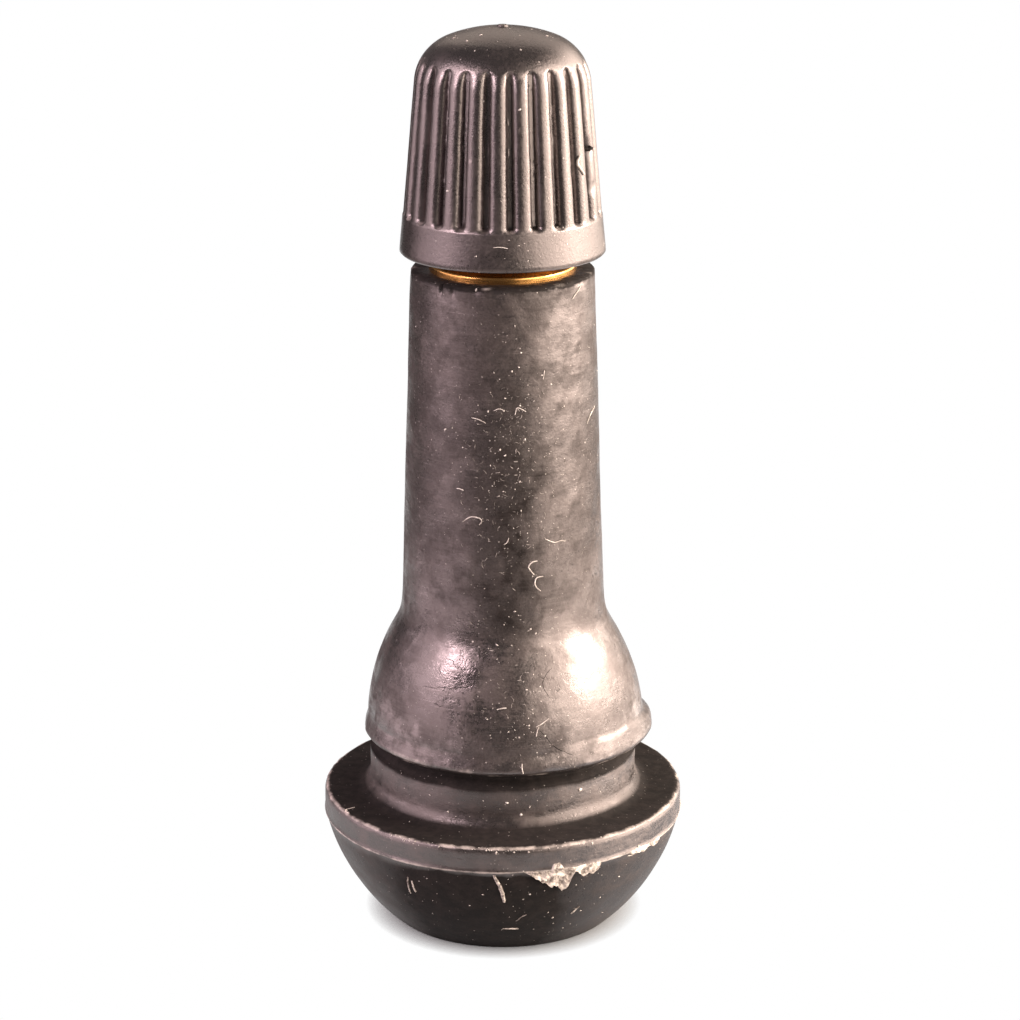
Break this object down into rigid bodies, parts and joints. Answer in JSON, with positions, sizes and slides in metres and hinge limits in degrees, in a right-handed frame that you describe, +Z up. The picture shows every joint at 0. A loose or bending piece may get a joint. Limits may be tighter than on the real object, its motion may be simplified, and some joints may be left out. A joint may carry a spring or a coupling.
{
  "type": "tyre valve",
  "caption": "Snap-in rubber tyre valve on a brass stem, with a ribbed screw cap and a spring-loaded valve core, for a tubeless wheel rim.",
  "frame": {"origin": "on the axis of the valve, at the flat under the base", "axes": "+Z up along the stem from the base to the cap, -Y towards the viewer of the picture"},
  "size_m": [0.0194, 0.0194, 0.0483],
  "materials": {
    "body_rubber": "satin moulded rubber, dusty and lightly scratched",
    "stem_brass": "turned brass",
    "cap_plastic": "matt moulded plastic",
    "gasket_rubber": "smooth rubber",
    "core_brass": "fine turned brass",
    "barrel_seal_polymer": "smooth moulded seal",
    "spring_steel": "drawn wire"
  },
  "bodies": {
    "valve_body": {"rubber_body": "body_rubber", "stem": "stem_brass"},
    "cap_carrier": {"cap_gasket": "gasket_rubber"},
    "cap": {"cap": "cap_plastic"},
    "core_barrel": {"core_barrel": "core_brass", "barrel_seal": "barrel_seal_polymer", "core_spring": "spring_steel"},
    "core_plug": {"core_plug": "core_brass"},
    "core_pin": {"core_pin": "core_brass", "plunger_cup": "core_brass", "cup_seal": "gasket_rubber"}
  },
  "joints": [
    {"name": "cap_lift", "type": "slide", "parent": "valve_body", "child": "cap_carrier", "axis": [0, 0, 1], "range_m": [0, 0.00873]},
    {"name": "cap_turn", "type": "hinge", "parent": "cap_carrier", "child": "cap", "pos_m": [0, 0, 0.0366], "axis": [0, 0, 1], "range_deg": [0, 3960]},
    {"name": "core_lift", "type": "slide", "parent": "valve_body", "child": "core_barrel", "axis": [0, 0, 1], "range_m": [0, 0.00141]},
    {"name": "core_turn", "type": "hinge", "parent": "core_barrel", "child": "core_plug", "pos_m": [0, 0, 0.0372], "axis": [0, 0, 1], "range_deg": [0, 720]},
    {"name": "pin_press", "type": "slide", "parent": "core_barrel", "child": "core_pin", "axis": [0, 0, -1], "range_m": [0, 0.0015], "stiffness_N_per_m": 1500, "springref_m": -0.002, "deforming": ["core_spring"]}
  ],
  "couplings": [
    {"joint": "cap_turn", "follows": "cap_lift", "rad_per_m": 7915.8},
    {"joint": "core_turn", "follows": "core_lift", "rad_per_m": 8905.3}
  ]
}
